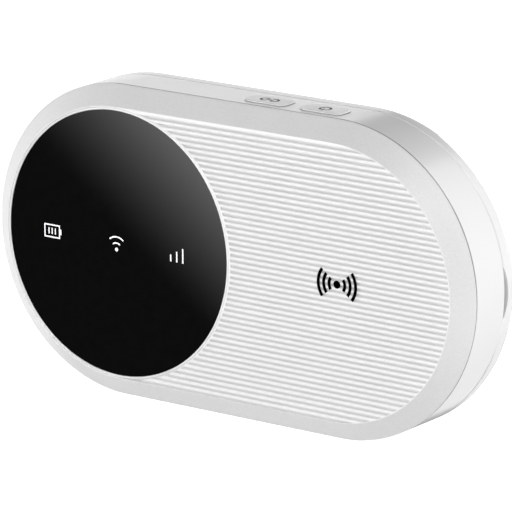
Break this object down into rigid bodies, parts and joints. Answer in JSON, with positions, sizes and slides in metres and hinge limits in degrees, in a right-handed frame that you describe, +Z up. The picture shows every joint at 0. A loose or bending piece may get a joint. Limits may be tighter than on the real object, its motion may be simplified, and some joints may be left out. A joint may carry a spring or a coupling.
{
  "type": "mobile hotspot",
  "caption": "Slim race-track shaped mobile hotspot with a ribbed front, a round black status lens, top keys, USB-C port and a lift-off rear cover over battery and SIM.",
  "frame": {"origin": "middle of the case's length and depth, at the height of the long edge it stands on", "axes": "+X along the case from the round lens towards the pry notch, -Y out of the front face, +Z up towards the keys"},
  "size_m": [0.1088, 0.0162, 0.0604],
  "materials": {
    "shell_white": "moulded white with a fine grain on the ribs and a smoother bevel",
    "frame_white": "white, satin moulded",
    "key_white": "white, satin moulded",
    "lens_black": "polished black",
    "ring_white": "polished white lip",
    "icon_white": "white print",
    "emblem_black": "black print",
    "legend_grey": "dark grey print",
    "guide_clear": "milky clear",
    "led_white": "clear over a pale phosphor",
    "chassis_grey": "fine spark-eroded grain",
    "screw_steel": "plated",
    "label_paper": "blank label",
    "board_green": "solder mask",
    "shield_tin": "tinned sheet",
    "chip_black": "moulded package",
    "thermal_grey": "soft pad",
    "passive_tan": "ceramic",
    "port_steel": "deep drawn",
    "port_black": "moulded",
    "contact_gold": "gold flash",
    "card_white": "card stock",
    "battery_grey": "moulded end frame",
    "battery_wrap": "printed film with no text",
    "switch_black": "moulded",
    "plunger_white": "moulded",
    "carrier_white": "moulded",
    "trace_copper": "plated trace"
  },
  "bodies": {
    "case": {"battery_blades": "contact_gold", "battery_connector": "port_black", "battery_icon": "icon_white", "board_passives": "passive_tan", "chassis_screws": "screw_steel", "display_lens": "lens_black", "front_cover": "shell_white", "hotspot_emblem": "emblem_black", "inner_chassis": "chassis_grey", "lens_ring": "ring_white", "light_guides": "guide_clear", "main_antenna": "trace_copper", "main_antenna_carrier": "carrier_white", "main_board": "board_green", "memory_chip": "chip_black", "middle_frame": "frame_white", "modem_chip": "chip_black", "modem_shield": "shield_tin", "pairing_switch": "switch_black", "port_contacts": "contact_gold", "port_shell": "port_steel", "port_tongue": "port_black", "power_chip": "chip_black", "power_shield": "shield_tin", "power_switch": "switch_black", "rating_label": "label_paper", "signal_icon": "icon_white", "sim_contacts": "contact_gold", "sim_socket": "shield_tin", "status_leds": "led_white", "thermal_pad": "thermal_grey", "wireless_antenna": "trace_copper", "wireless_antenna_carrier": "carrier_white", "wireless_chip": "chip_black", "wireless_icon": "icon_white", "wireless_shield": "shield_tin"},
    "power_key": {"power_button": "key_white", "power_symbol": "legend_grey", "power_plunger": "plunger_white"},
    "pairing_key": {"pairing_button": "key_white", "pairing_symbol": "legend_grey", "pairing_plunger": "plunger_white"},
    "cover": {"rear_cover": "frame_white"},
    "battery": {"battery_pack": "battery_grey", "battery_terminals": "contact_gold", "battery_label": "battery_wrap"},
    "card": {"sim_card": "card_white", "sim_card_pads": "contact_gold"}
  },
  "joints": [
    {"name": "power_press", "type": "slide", "parent": "case", "child": "power_key", "axis": [0, 0, -1], "range_m": [0, 0.0003], "stiffness_N_per_m": 400, "springref_m": -0.0003},
    {"name": "pairing_press", "type": "slide", "parent": "case", "child": "pairing_key", "axis": [0, 0, -1], "range_m": [0, 0.0003], "stiffness_N_per_m": 400, "springref_m": -0.0003},
    {"name": "cover_lift", "type": "slide", "parent": "case", "child": "cover", "axis": [0, 1, 0], "range_m": [0, 0.04]},
    {"name": "battery_lift", "type": "slide", "parent": "case", "child": "battery", "axis": [0, 1, 0], "range_m": [0, 0.02]},
    {"name": "card_slide", "type": "slide", "parent": "case", "child": "card", "axis": [1, 0, 0], "range_m": [0, 0.01]}
  ],
  "couplings": [
    {"joint": "battery_lift", "follows": "cover_lift", "ratio": 0.5}
  ]
}
